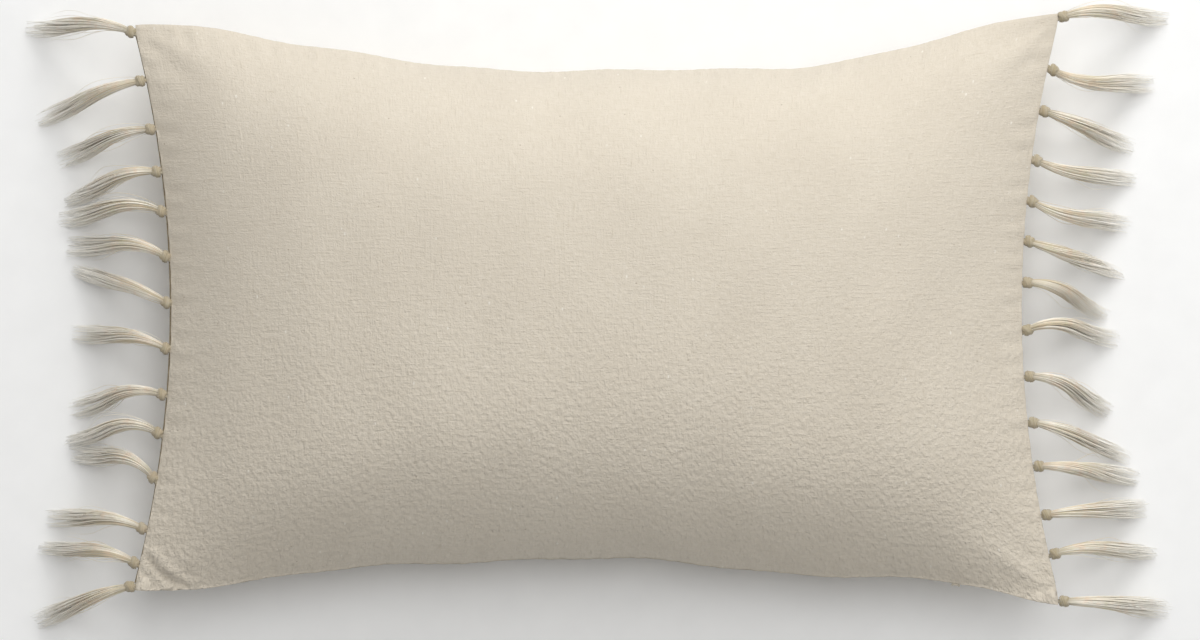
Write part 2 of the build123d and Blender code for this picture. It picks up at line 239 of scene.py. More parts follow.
# %% The linen finish
def linen(name, light, dark, deep):
    """Plain weave whose threads run from dark to light, with the deep colour in soft patches."""
    cloth = Finish(name, 0.92, Sheen_Weight=0.18, Sheen_Roughness=0.55, Specular_IOR_Level=0.18)
    flat = cloth.add("UVMap", {"uv_map": "cut"}).outputs[0]
    chance = cloth.add("TexNoise", Vector=flat, Scale=45.0, Detail=2.0).outputs["Color"]
    moved = cloth.add(
        "VectorMath", {"operation": "MULTIPLY_ADD"}, _0=chance, _1=(WANDER, WANDER, 0), _2=flat
    ).outputs[0]

    def bands(direction):
        wave = cloth.add("TexWave", {"bands_direction": direction}, Vector=moved, Scale=WAVE_SCALE)
        return wave.outputs["Fac"]

    def streaks(size, detail):
        return cloth.noise(cloth.stretched(moved, *size), 1.0, detail)

    def mean(a, b):
        return cloth.maths("MULTIPLY", cloth.maths("ADD", a, b), 0.5)

    weave = mean(bands("X"), bands("Y"))
    threads = mean(streaks(WARP_THREAD, 2.0), streaks(WEFT_THREAD, 2.0))
    slubs = cloth.maths("MAXIMUM", streaks(WARP_SLUB, 1.0), streaks(WEFT_SLUB, 1.0))
    lint = cloth.noise(flat, 900.0, 4.0)
    mottle = cloth.noise(flat, 14.0, 4.0, 0.4)
    husks = cloth.add("TexVoronoi", Vector=flat, Scale=HUSKS_PER_METRE).outputs["Distance"]
    spaced = cloth.stretched(moved, *FLECK_SPACING)
    flecks = cloth.add("TexVoronoi", Vector=spaced, Scale=1.0).outputs["Distance"]

    tone = cloth.blend(cloth.steps(threads, 0.27, 0.73), dark, light)
    tone = cloth.tint(tone, slubs, 0.68, 0.80, 0.34, SLUB_TAN)
    tone = cloth.tint(tone, streaks(PALE_THREAD, 1.0), 0.70, 0.82, 0.4, THREAD_PALE)
    tone = cloth.tint(tone, mottle, 0.30, 0.75, 0.32, deep)
    tone = cloth.tint(tone, husks, 0.05, 0.02, 0.5, HUSK_BROWN)
    tone = cloth.tint(tone, flecks, 0.07, 0.03, 0.55, FLECK_WHITE)
    cloth.colour(cloth.tint(tone, lint, 0.35, 0.75, 0.16, light))

    # the cloth is taut on the upper half of the crown and slack, so crinkled, at the lower seam
    down = cloth.add("SeparateXYZ", Vector=flat).outputs["Y"]
    slack = cloth.maths("MULTIPLY_ADD", cloth.steps(down, 0.05, -0.19), 0.85, 0.15)
    crinkle = cloth.maths("MULTIPLY", streaks(CRINKLE, 4.0), slack)
    relief = cloth.bump(weave, 0.18 * MM, 0.5)
    relief = cloth.bump(threads, 0.5 * MM, 0.55, relief)
    relief = cloth.bump(slubs, 0.9 * MM, 0.5, relief)
    relief = cloth.bump(crinkle, 3.0 * MM, 0.8, relief)
    cloth.bump(lint, 0.6 * MM, 0.6, relief)
    return cloth.material


cover_linen = linen(
    "oatmeal_linen", srgb(222, 213, 198), srgb(209, 199, 181), srgb(201, 190, 173)
)
print("linen finish", len(cover_linen.node_tree.nodes), "nodes")

# %% [markdown]
# ## From arrays to a mesh
#
# Each shape below is worked out as numpy arrays: points in rows, and faces as rows of point
# numbers. One function hands them to Blender in bulk, with the flat coordinates that a pattern
# follows.

# %% Mesh from arrays
def put_mesh(name, points, quads, quad_uv=None):
    """A smooth mesh object at the origin from arrays: points (n, 3) and quads (m, 4)."""
    mesh = bpy.data.meshes.new(name)
    mesh.vertices.add(len(points))
    mesh.vertices.foreach_set("co", np.ascontiguousarray(points, np.float32).ravel())
    mesh.loops.add(quads.size)
    mesh.loops.foreach_set("vertex_index", quads.ravel().astype(np.int32))
    mesh.polygons.add(len(quads))
    mesh.polygons.foreach_set("loop_start", np.arange(0, quads.size, 4, dtype=np.int32))
    mesh.update(calc_edges=True)
    mesh.validate()
    if quad_uv is not None:
        layer = mesh.uv_layers.new(name="cut")
        layer.data.foreach_set("uv", quad_uv.astype(np.float32).ravel())
    mesh.polygons.foreach_set("use_smooth", np.full(len(quads), True))
    piece = bpy.data.objects.new(name, mesh)
    bpy.context.scene.collection.objects.link(piece)
    return piece


def grid_faces(rows, columns):
    """Quads of a grid whose points are numbered along each row in turn."""
    corner = (np.arange(rows - 1)[:, None] * columns + np.arange(columns - 1)).ravel()
    return np.stack([corner, corner + columns, corner + columns + 1, corner + 1], axis=1)


# %% [markdown]
# ## Where the seam runs
#
# A filled cover draws in between its corners, because its cloth has to climb over the filling
# on the way across. In plan each seam is a shallow curve: the short ones and the bottom one are
# parabolas, and the top one is drawn in more and later. A real seam also wanders a little.

# %% Seam curves in plan
left_pull = 27.6 * MM
right_pull = 25.4 * MM
top_pull = 35 * MM
bottom_pull = 25 * MM
corner_rise = 2.0 * MM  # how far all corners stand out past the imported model's
corner_flare = 5.0 * MM  # the right-hand corners stand out this much more, the left ones less


def bay(u, middle, width, depth):
    """A smooth dent of a seam, in metres, as deep as depth says in millimetres at its middle."""
    return depth * MM * np.exp(-(((u - middle) / width) ** 2))


def plan(u, v):
    """Plan position of the cloth: u and v run from -1 to 1 between the seams."""
    lift = (1 + v) / 2
    top = (1 - u**2) ** 1.35 * top_pull + bay(u, 0.52, 0.26, 5.5) - bay(u, -0.88, 0.14, 4)
    bottom = (1 - u**2) * bottom_pull - bay(u, 0.40, 0.26, 5.5) - bay(u, -0.78, 0.2, 3)
    bottom = bottom - bay(u, 0.93, 0.07, 3)
    pull = np.where(u < 0, left_pull, right_pull)
    y = v * half_width - lift * top * v**2 + (1 - lift) * bottom * v**2
    y = y + (bottom - top) * 0.15 * (1 - v**2) + v * (corner_rise * u**4 + corner_flare * u**5)
    y = y + np.abs(v) ** 6 * MM * (1.1 * np.sin(9 * u + 0.6) + 0.7 * np.sin(23 * u + v))
    end_y = v * (half_width + corner_rise + u * corner_flare)
    x = u * (half_length - pull * (1 - (end_y / half_width) ** 2))
    rounding = (u * v) ** 30
    return x - np.sign(u) * 2.0 * MM * rounding, y - np.sign(v) * 1.0 * MM * rounding


# %% [markdown]
# ## The cushion's form
#
# Pillows are hard to draw by hand because their cloth can't stretch: it keeps its cut size, and
# the bulge, the drawn-in sides and the little puckers all follow from that. So we let cloth
# simulation find the shape. The mesh starts as a low crown between seams held in place, its
# threads have the lengths of the flat cut panels, and air pressure stands in for the filling. A
# floor below flattens the back.

# %% Cut size and starting form
cut_length = 0.660
cut_width = 0.406
COLUMNS = 109  # points along the pillow
ROWS = 69  # points across it
u_line = np.linspace(-1, 1, COLUMNS)
v_line = np.linspace(-1, 1, ROWS)
V, U = np.meshgrid(v_line, u_line)  # rows run along u
plan_x, plan_y = plan(U, V)
swell = (1 - U**2) * (1 + 0.7 * U**2) * (1 - V**2) * (1 + 0.7 * V**2)
front_height = front_high.z - seam_z
on_edge = np.zeros((COLUMNS, ROWS), bool)
on_edge[[0, -1], :] = True
on_edge[:, [0, -1]] = True
front_index = np.arange(COLUMNS * ROWS).reshape(COLUMNS, ROWS)
back_index = front_index.copy()
back_index[~on_edge] = COLUMNS * ROWS + np.arange((~on_edge).sum())


def form_points(front_z, back_z):
    """Front points, then the back points that aren't on the shared seam."""
    front = np.stack([plan_x, plan_y, front_z], axis=2).reshape(-1, 3)
    back = np.stack([plan_x, plan_y, back_z], axis=2)[~on_edge]
    return np.concatenate([front, back])


def crown(back_depth, lowest):
    """Both panels swelled by formula: the back by back_depth, but never below lowest."""
    back_z = np.maximum(seam_z - back_depth * swell, lowest)
    return form_points(seam_z + front_height * swell, back_z)


grid_quads = grid_faces(COLUMNS, ROWS)
front_quads = front_index.ravel()[grid_quads]
back_quads = back_index.ravel()[grid_quads][:, ::-1]
start = crown(50 * MM, 4 * MM)
print("cushion form", len(start), "points")

# %% Let the cloth fill out
def fill_out(points, frames):
    """Cloth simulation of the closed form, held at its seam, and its points at the end."""
    form = put_mesh("cushion_form", points, np.concatenate([front_quads, back_quads]))
    form.shape_key_add(name="Basis")
    cut = form.shape_key_add(name="flat_cut")
    flat = np.zeros_like(points)
    spread = np.stack([U * cut_length / 2, V * cut_width / 2], axis=2)
    flat[: COLUMNS * ROWS, :2] = spread.reshape(-1, 2)
    flat[COLUMNS * ROWS :, :2] = spread[~on_edge]
    flat[:, 2] = points[:, 2] * 0.001  # all but flat, with the two panels just apart
    cut.data.foreach_set("co", flat.astype(np.float32).ravel())
    held = form.vertex_groups.new(name="seam")
    held.add(front_index[on_edge].tolist(), 1.0, "REPLACE")
    cloth = form.modifiers.new("cloth", "CLOTH")
    cloth.settings.rest_shape_key = cut
    cloth.settings.quality = 5
    cloth.settings.mass = 0.12
    cloth.settings.air_damping = 2.0
    cloth.settings.tension_stiffness = 28
    cloth.settings.compression_stiffness = 12
    cloth.settings.shear_stiffness = 6
    cloth.settings.bending_stiffness = 0.6
    cloth.settings.vertex_group_mass = "seam"
    cloth.settings.use_pressure = True
    cloth.settings.uniform_pressure_force = 8
    cloth.settings.effector_weights.gravity = 0
    cloth.collision_settings.distance_min = 0.002
    cloth.point_cache.frame_start = 1
    cloth.point_cache.frame_end = frames
    floor.modifiers.new("stop", "COLLISION")
    floor.collision.thickness_outer = 0.002
    for number in range(1, frames + 1):
        bpy.context.scene.frame_set(number)
    depsgraph = bpy.context.evaluated_depsgraph_get()
    done = np.zeros(len(points) * 3, np.float32)
    form.evaluated_get(depsgraph).data.vertices.foreach_get("co", done)
    bpy.context.scene.frame_set(1)
    floor.modifiers.clear()
    bpy.data.objects.remove(form)
    return done.reshape(-1, 3).astype(float)


filled = fill_out(start, 24)
front_shape = filled[front_index]
back_shape = filled[back_index]
print(f"crown {front_shape[..., 2].max() / MM:.1f} mm, back {back_shape[..., 2].min() / MM:.1f} mm")

# %% [markdown]
# ## Panels with a sewn edge
#
# A panel is one sheet that is folded in at the seam, so its edge is round, not sharp. We take
# the simulated sheet, raise its edge by the thickness of the layers in the seam, and carry it
# round the fold and back inside in a few narrow rings. Solidify then gives the cloth its
# thickness. Small puckers where the stitches gather the cloth, and folds at one corner where
# the cloth bunches, are added along the sheet's normals.

# %% Finer grids and their normals
def finer(grid):
    """A grid with a new point halfway between every two, on a smooth curve through four.

    Each new point is 9/16 of each neighbour less 1/16 of the next ones out.
    """
    for axis in (0, 1):
        grid = np.moveaxis(grid, axis, 0)
        first = 2 * grid[:1] - grid[1:2]
        last = 2 * grid[-1:] - grid[-2:-1]
        wide = np.concatenate([first, grid, last])
        halfway = (9 * (wide[1:-2] + wide[2:-1]) - wide[:-3] - wide[3:]) / 16
        doubled = np.empty((2 * len(grid) - 1, *grid.shape[1:]))
        doubled[::2] = grid
        doubled[1::2] = halfway
        grid = np.moveaxis(doubled, 0, axis)
    return grid


def normals_of(sheet):
    """Unit normals of a grid: the cross product of its two directions."""
    along = np.gradient(sheet, axis=0)
    across = np.gradient(sheet, axis=1)
    normal = np.cross(along, across)
    return normal / np.maximum(np.linalg.norm(normal, axis=2, keepdims=True), 1e-9)


fine_u, fine_v = finer(U), finer(V)
cut_x = fine_u * cut_length / 2  # places on the flat cut, from its middle
cut_y = fine_v * cut_width / 2
from_end = (1 - np.abs(fine_u)) * cut_length / 2
from_side = (1 - np.abs(fine_v)) * cut_width / 2
edge_gap = np.minimum(from_end, from_side)

# %% [markdown]
# ## Unevenness, puckers and folds
#
# Sewn cloth is never even. Small relief, a millimetre or less, breaks up the smooth result of
# the simulation: long soft ripples everywhere, puckers beside the stitches, and folds that fan
# out of each corner. All of it is a height along the sheet's normal, so it can simply be added.

# %% Relief of the sewn cloth
def ripples(seed, count, shortest, longest):
    """Smooth unevenness over the cut cloth: a sum of plane waves of mixed length."""
    chance = np.random.default_rng(seed)
    turn = chance.uniform(0, math.tau, count)
    length = np.exp(chance.uniform(math.log(shortest), math.log(longest), count))
    shift = chance.uniform(0, math.tau, count)
    x, y = cut_x[..., None], cut_y[..., None]
    waves = np.sin((x * np.cos(turn) + y * np.sin(turn)) * math.tau / length + shift)
    return waves.sum(axis=2) / math.sqrt(count)


def puckers(seed):
    """Puckers beside the stitches, in metres: two waves along the seam, which fade inwards.

    The first wave's phase wanders as it goes, so the puckers aren't evenly spaced.
    """
    run = np.where(from_end < from_side, cut_y, cut_x)
    gather = np.sin(run * math.tau / (13 * MM) + 3 * np.sin(run * 31 + seed))
    gather = gather + 0.7 * np.sin(run * math.tau / (21 * MM) + seed)
    return 0.35 * MM * gather * np.exp(-(((edge_gap - 8 * MM) / (10 * MM)) ** 2))


def folded_corner():
    """Relief of the folds that cut off the lower left-hand corner, in metres.

    Each fold runs along a line from the end seam to the bottom seam. Across the line the
    relief is a short wave that fades on both sides, and it fades at the seams too.
    """
    dx = (1 + fine_u) * cut_length / 2
    dy = (1 + fine_v) * cut_width / 2
    run_x, run_y = 42 * MM, 33 * MM  # where the line meets the two seams, from the corner
    across = (dx / run_x + dy / run_y - 1) * run_x * run_y / math.hypot(run_x, run_y)
    across = across + 1.5 * MM * np.sin(dx / (9 * MM))
    wave = np.cos((across - 1 * MM) * math.tau / (10 * MM))
    middle = dx / run_x - dy / run_y
    return 2.6 * MM * wave * np.exp(-(((across + 3 * MM) / (7.5 * MM)) ** 2) - (middle / 0.95) ** 4)


# each corner's u and v, and the depth of its folds in millimetres
CORNERS = ((-1, -1, 0.5), (-1, 1, 1.0), (1, -1, 1.3), (1, 1, 1.1))


def corner_fans(chance):
    """Small folds that fan out of every corner, in metres.

    The relief is a wave of the bearing from the corner. It is strongest 36 mm from the corner
    and halfway between the two seams.
    """
    relief = np.zeros_like(fine_u)
    for corner_u, corner_v, depth in CORNERS:
        dx = (fine_u - corner_u) * cut_length / 2 * -corner_u
        dy = (fine_v - corner_v) * cut_width / 2 * -corner_v
        radius = np.hypot(dx, dy)
        bearing = np.arctan2(dy, dx)
        fold = np.sin(bearing * 7 + chance.uniform(0, 3) + radius * 40)
        near = np.exp(-(((radius - 36 * MM) / (26 * MM)) ** 2)) * np.sin(2 * bearing) ** 2
        relief = relief + depth * MM * fold * near
    return relief


# %% [markdown]
# ## The folded edge
#
# At the seam the cloth turns in. Rings of points follow the sheet's rim: two go round the fold,
# and three more run flat inside, along what the seam holds. That is the tassels' tape at the two
# ends, the zipper's tape at the bottom and nothing but thread at the top.

# %% Rings of the folded edge
# each ring's inset from the rim, and its height over the layers in the seam, in millimetres
FOLD_RINGS = ((-0.15, 0.75), (0.1, 0.3), (0.9, 0.0), (3.0, 0.0), (9.0, 0.0))
HALF_OPEN = {"end": 0.62, "top": 0.2, "zipper": 0.95}  # half of what each seam holds, in mm
fine_index = np.arange(fine_u.size).reshape(fine_u.shape)
rim_loop = np.concatenate(
    [fine_index[:-1, 0], fine_index[-1, :-1], fine_index[:0:-1, -1], fine_index[0, :0:-1]]
)


def folded_edge(points, up):
    """Points, quads and flat coordinates of the rings that turn a panel's edge in."""
    rim = points[rim_loop]
    u_rim, v_rim = fine_u.ravel()[rim_loop], fine_v.ravel()[rim_loop]
    ahead = np.roll(rim, -1, axis=0) - np.roll(rim, 1, axis=0)
    inwards = np.stack([-ahead[:, 1], ahead[:, 0], np.zeros(len(rim))], axis=1)
    inwards /= np.linalg.norm(inwards, axis=1, keepdims=True)
    side_open = np.where(v_rim > 0, HALF_OPEN["top"], HALF_OPEN["zipper"])
    half_open = np.where(np.abs(u_rim) > 0.999, HALF_OPEN["end"], side_open) * MM
    rings, quads, uv = [], [], []
    flat_rim = np.stack([cut_x, cut_y], axis=2).reshape(-1, 2)[rim_loop]
    outer = rim_loop
    for number, (inset, height) in enumerate(FOLD_RINGS):
        ring = rim + inwards * inset * MM
        ring[:, 2] = seam_z + up * (half_open + height * MM)
        rings.append(ring)
        inner = len(points) + number * len(rim) + np.arange(len(rim))
        quads.append(np.stack([outer, inner, np.roll(inner, -1), np.roll(outer, -1)], axis=1))
        near, far = (flat_rim * (1 + 0.004 * ring_number) for ring_number in (number, number + 1))
        uv.append(np.stack([near, far, np.roll(far, -1, 0), np.roll(near, -1, 0)], axis=1))
        outer = inner
    return np.concatenate(rings), np.concatenate(quads), np.concatenate(uv)


# %% A sewn panel
def sewn_panel(name, shape, up, nodes, seed):
    """A panel from its filled shape: up is 1 for the front and -1 for the back."""
    sheet = finer(shape)
    sheet[..., 2] += up * 1.5 * MM * np.exp(-edge_gap / (10 * MM))  # the seam's layers
    relief = puckers(seed) + 0.55 * MM * ripples(seed, 14, 0.05, 0.16) * np.tanh(edge_gap / 0.02)
    if up > 0:
        relief = relief + folded_corner()
    relief = relief + corner_fans(np.random.default_rng(seed))
    sheet = sheet + normals_of(sheet) * relief[..., None]
    sheet[..., 2] = np.maximum(sheet[..., 2], 0.9 * MM)
    points = sheet.reshape(-1, 3)
    ring_points, ring_quads, ring_uv = folded_edge(points, up)
    body = grid_faces(*fine_u.shape)
    flat = np.stack([cut_x, cut_y], axis=2).reshape(-1, 2)
    faces = np.concatenate([body, ring_quads])
    uv = np.concatenate([flat[body], ring_uv])
    if up < 0:
        faces, uv = faces[:, ::-1], uv[:, ::-1]
    panel = put_mesh(name, np.concatenate([points, ring_points]), faces, uv)
    wall = panel.modifiers.new("cloth_thickness", "SOLIDIFY")
    wall.thickness = 0.7 * MM
    wall.offset = -1
    panel.data.materials.append(cover_linen)
    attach(panel, "cushion")
    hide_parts(*nodes)
    print(name, len(faces), "faces")
    return panel


# %% The two panels
cover_front = sewn_panel("cover_front", front_shape, 1, ["front_panel"], 5)
cover_back = sewn_panel("cover_back", back_shape, -1, ["back_panel"], 11)

# %% [markdown]
# ## Inside the cover
#
# The insert is a plain bag, a little smaller than the cover, and the fibre fills the bag. Both
# follow the cover's own shape: drawing every point a few percent towards the middle of the seam
# plane keeps a convex shape inside itself, so nothing pokes through.

# %% Insert and filling
ticking = Finish("ticking", 0.85, Sheen_Weight=0.1)
where = ticking.add("TexCoord").outputs["Object"]
lint = ticking.noise(where, 700.0)
ticking.colour(ticking.blend(lint, srgb(232, 230, 225), srgb(246, 245, 242)))
ticking.bump(lint, 0.0003, 0.5)
fibre = Finish("fibre_fill", 1.0)
where = fibre.add("TexCoord").outputs["Object"]
tufts = fibre.noise(where, 60.0, 6.0, 1.5)
fibre.colour(fibre.blend(tufts, srgb(228, 229, 230), srgb(250, 250, 250)))
fibre.bump(tufts, 0.006, 0.8)


def drawn_in(shape, plan_share, height_share):
    """Every point moved towards the middle of the seam plane by the given shares."""
    middle = np.array([0, (plan_y[COLUMNS // 2, 0] + plan_y[COLUMNS // 2, -1]) / 2, seam_z])
    return middle + (shape - middle) * [plan_share, plan_share, height_share]


def inner_part(name, top, bottom, finish, nodes, fill):
    """One or two drawn-in panels as a piece; both together make a closed form."""
    points, faces, uv = [], [], []
    flat = np.stack([U * cut_length / 2, V * cut_width / 2], axis=2).reshape(-1, 2)
    body = grid_faces(COLUMNS, ROWS)
    for shape, order in ((top, 1), (bottom, -1)):
        if shape is None:
            continue
        offset = sum(len(part) for part in points)
        points.append(shape.reshape(-1, 3))
        faces.append((body + offset)[:, ::order])
        uv.append(flat[body][:, ::order])
    piece = put_mesh(name, np.concatenate(points), np.concatenate(faces), np.concatenate(uv))
    piece.data.materials.append(finish.material)
    if fill is None:
        wall = piece.modifiers.new("cloth_thickness", "SOLIDIFY")
        wall.thickness = 0.5 * MM
        wall.offset = -1
    else:
        weld = piece.modifiers.new("closed_seam", "WELD")
        weld.merge_threshold = 0.05 * MM
    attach(piece, "cushion")
    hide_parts(*nodes)
    return piece


insert_shares = (0.955, 0.965)  # of the cover's plan and of its height
fibre_shares = (0.935, 0.94)
inner_part("insert_front", drawn_in(front_shape, *insert_shares), None, ticking,
           ["insert_front_panel"], None)
inner_part("insert_back", None, drawn_in(back_shape, *insert_shares), ticking,
           ["insert_back_panel"], None)
inner_part("fibre", drawn_in(front_shape, *fibre_shares), drawn_in(back_shape, *fibre_shares),
           fibre, ["filling"], 0.8)
print("insert and filling follow the cover")

# %% [markdown]
# ## Yarn
#
# A tassel is dozens of fine yarns. Undyed yarn isn't one colour: its plies run from cream to
# tan with an olive or pinkish cast. Each yarn keeps a number for its own shade, and each point
# knows how far along the tassel it is. The knot and the yarn by the seam are darkened there as
# painted shade, and the tips are paled as painted light.

# %% The yarn finish
yarn = Finish("undyed_yarn", 0.85, Sheen_Weight=0.25, Sheen_Roughness=0.5, Specular_IOR_Level=0.25)
shade = yarn.add("Attribute", {"attribute_name": "shade"}).outputs["Fac"]
along = yarn.add("Attribute", {"attribute_name": "along"}).outputs["Fac"]
where = yarn.add("TexCoord").outputs["Object"]
cast = yarn.noise(where, 160.0, 3.0)
tan, cream, ivory = srgb(214, 199, 168), srgb(238, 228, 207), srgb(250, 245, 233)
pinkish, olive = srgb(244, 219, 194), srgb(226, 224, 190)
# painted shade and painted light: a brown that darkens the knot and the yarn by the seam, and a near white that
# pales the tips
painted_knot_shade, painted_tip_light = srgb(158, 145, 116), srgb(254, 252, 246)
tone = yarn.blend(yarn.steps(shade, 0.0, 0.3), tan, cream)
tone = yarn.tint(tone, shade, 0.3, 0.8, 1.0, ivory)
tone = yarn.tint(tone, cast, 0.5, 0.7, 0.45, pinkish)
tone = yarn.tint(tone, cast, 0.45, 0.28, 0.35, olive)
# painted shade: the knot and the yarn between it and the seam are darkened towards brown, where shade falls
tone = yarn.tint(tone, along, 0.17, 0.04, 0.7, painted_knot_shade)
# painted light: paler from halfway along to the tips, standing in for light that the pale floor throws back into
# the yarns
tone = yarn.tint(tone, along, 0.4, 0.9, 0.8, painted_tip_light)
yarn.colour(tone)
yarn.bump(yarn.noise(where, 2600.0, 2.0), 0.2 * MM, 0.7)

# %% [markdown]
# ## Many tubes at once
#
# Every yarn is a thin tube along its own line. The lines of one tassel all have the same
# number of points, so a single array operation builds every tube: around each point stand four
# corners, at right angles to the line, and a square closes each end.

# %% Tubes along lines
def tubes(lines, radius, shades, along):
    """Square tubes: lines (n, m, 3), radius (n, m), one shade per line, along (n, m).

    The corner at angle a is the line's point plus radius times cos a of one side vector and
    sin a of the other, where both are at right angles to the line's direction.
    """
    count, steps = radius.shape
    ahead = np.gradient(lines, axis=1)
    ahead /= np.maximum(np.linalg.norm(ahead, axis=2, keepdims=True), 1e-9)
    guide = np.array([0.31, 0.17, 0.94])
    side = np.cross(ahead, guide)
    side /= np.maximum(np.linalg.norm(side, axis=2, keepdims=True), 1e-9)
    other = np.cross(ahead, side)
    angle = np.arange(4) * math.tau / 4
    ring = (
        side[:, :, None] * np.cos(angle)[:, None] + other[:, :, None] * np.sin(angle)[:, None]
    )
    points = lines[:, :, None] + ring * radius[:, :, None, None]
    number = np.arange(count * steps * 4).reshape(count, steps, 4)
    a, b = number[:, :-1], number[:, 1:]
    walls = np.stack([a, b, np.roll(b, -1, 2), np.roll(a, -1, 2)], axis=3).reshape(-1, 4)
    ends = np.concatenate([number[:, 0], number[:, -1, ::-1]])
    shade = np.broadcast_to(shades[:, None, None], number.shape)
    far = np.broadcast_to(along[:, :, None], number.shape)
    quads = np.concatenate([walls, ends])[:, ::-1]
    return points.reshape(-1, 3), quads, shade.ravel(), far.ravel()


# %% [markdown]
# ## How a tassel lies
#
# A tassel leaves the seam almost level, because the yarn is stiff near its knot, then droops to
# the floor and lies on it. In plan it swerves as it leaves the knot and straightens out. Every
# tassel on a real pillow does this differently, so each has its own reach, lean and swerve.

# %% One row of numbers per tassel
LEFT = dict(
    lean=[5, -18, -15, -14, -2, 8, 19, 10, -8, -4, 16, 6, 7, -21],
    bend=[6, 3, 4, 6, 8, 8, 3, 6, 8, 11, 11, 6, 7, 3],
    reach=[78, 79, 70, 70, 75, 72, 73, 69, 68, 67, 62, 70, 70, 75],
    place=[188, 157, 123, 93, 64, 32, 1, -31, -62, -90, -122, -155, -179, -192],
)
RIGHT = dict(
    lean=[3, -7, -19, -10, -13, -18, -19, -3, -21, -19, -8, 2, -1, -6],
    bend=[5, -7, 0, -5, -5, 0, 5, 8, 6, 3, 3, 2, 6, 2],
    reach=[77, 75, 70, 73, 73, 73, 63, 67, 66, 75, 75, 74, 74, 79],
    place=[199, 167, 137, 104, 76, 47, 17, -18, -48, -79, -110, -144, -172, -203],
)


def droop_line(reach, drop, points):
    """The tassel's line seen from the side: distance out and height, from its slope.

    The slope grows from slightly upwards to its steepest past the middle and eases off where
    the yarn lies down; its size is the one whose total fall is the drop.
    """
    t = np.linspace(0, 1, points)
    slope = -0.16 * (1 - t) ** 3 + np.sin(math.pi * np.minimum(t**0.9, 1) * 0.86) ** 1.3
    size = np.linspace(0.2, 1.5, 131)
    bent = size[:, None] * slope
    fall = np.sin(bent).mean(axis=1) / np.cos(bent).mean(axis=1)
    best = np.interp(drop / reach, fall, size)
    out = np.concatenate([[0], np.cumsum(np.cos(best * slope))[:-1]])
    down = np.concatenate([[0], np.cumsum(np.sin(best * slope))[:-1]])
    scale = reach / out[-1]
    return out * scale, -down * scale


def smooth_chance(chance, rows, steps, waves):
    """Rows of smooth random numbers: a few sine waves with chance heights and shifts."""
    t = np.linspace(0, 1, steps)
    total = np.zeros((rows, steps))
    for wave in range(1, waves + 1):
        height = chance.normal(size=(rows, 1)) / wave
        shift = chance.uniform(0, math.tau, (rows, 1))
        total += height * np.sin(wave * math.pi * t + shift)
    return total


# %% One tassel's line
STEPS = 30  # points along a tassel
KNOT_REACH = 4.5  # the knot's distance from the seam in millimetres, which reach leaves out
LYING_HEIGHT = 4.5 * MM  # of the line's end, half a bundle over the floor


def tassel_line(side, number, row, root_z):
    """The tassel's line from the seam outwards, with unit vectors ahead, level and upward.

    In plan it leaves the seam at the lean. A swerve across it grows as t times e to the minus
    t, so it is largest a third of the way along. Its height is the droop's.
    """
    lean = math.radians(row["lean"][number])
    reach = (row["reach"][number] + KNOT_REACH) * MM
    swerve = row["bend"][number] * MM
    root_y = row["place"][number] * MM
    edge_x, _ = plan(float(side), root_y / (half_width + corner_rise + side * corner_flare))
    root = np.array([edge_x - side * 0.5 * MM, root_y, root_z])
    direction = np.array([side * math.cos(lean), math.sin(lean), 0])
    across = np.array([-side * direction[1], side * direction[0], 0])
    t = np.linspace(0, 1, STEPS)
    out, height = droop_line(reach, root_z - LYING_HEIGHT, STEPS)
    early = t / 0.34
    sideways = swerve * (early * np.exp(1 - early)) * (1 - t**3) * 1.05
    middle = root + out[:, None] * direction + sideways[:, None] * across
    middle[:, 2] = root_z + height
    ahead = np.gradient(middle, axis=0)
    ahead /= np.linalg.norm(ahead, axis=1, keepdims=True)
    level = np.cross([0, 0, 1], ahead)
    level /= np.linalg.norm(level, axis=1, keepdims=True)
    return t, middle, ahead, level, np.cross(ahead, level)


# %% [markdown]
# ## The skirt
#
# Below the knot the yarns hang loose. They start close together, open out, gather in two to four
# clumps and end at different lengths, and a few stray from the rest. Turning by the golden angle
# from one yarn to the next spreads them evenly over the bundle's round section.

# %% The skirt of yarns
YARNS = 104
STRAYS = 8  # how many of them wander off
GOLDEN_ANGLE = 2.39996
# shares of the way along, and the bundle's radius there in millimetres
BUNDLE_AT = [0, 0.04, 0.12, 0.3, 0.55, 0.85, 1]
BUNDLE_RADIUS = [1.2, 1.6, 2.7, 4.4, 5.6, 5.9, 5.2]


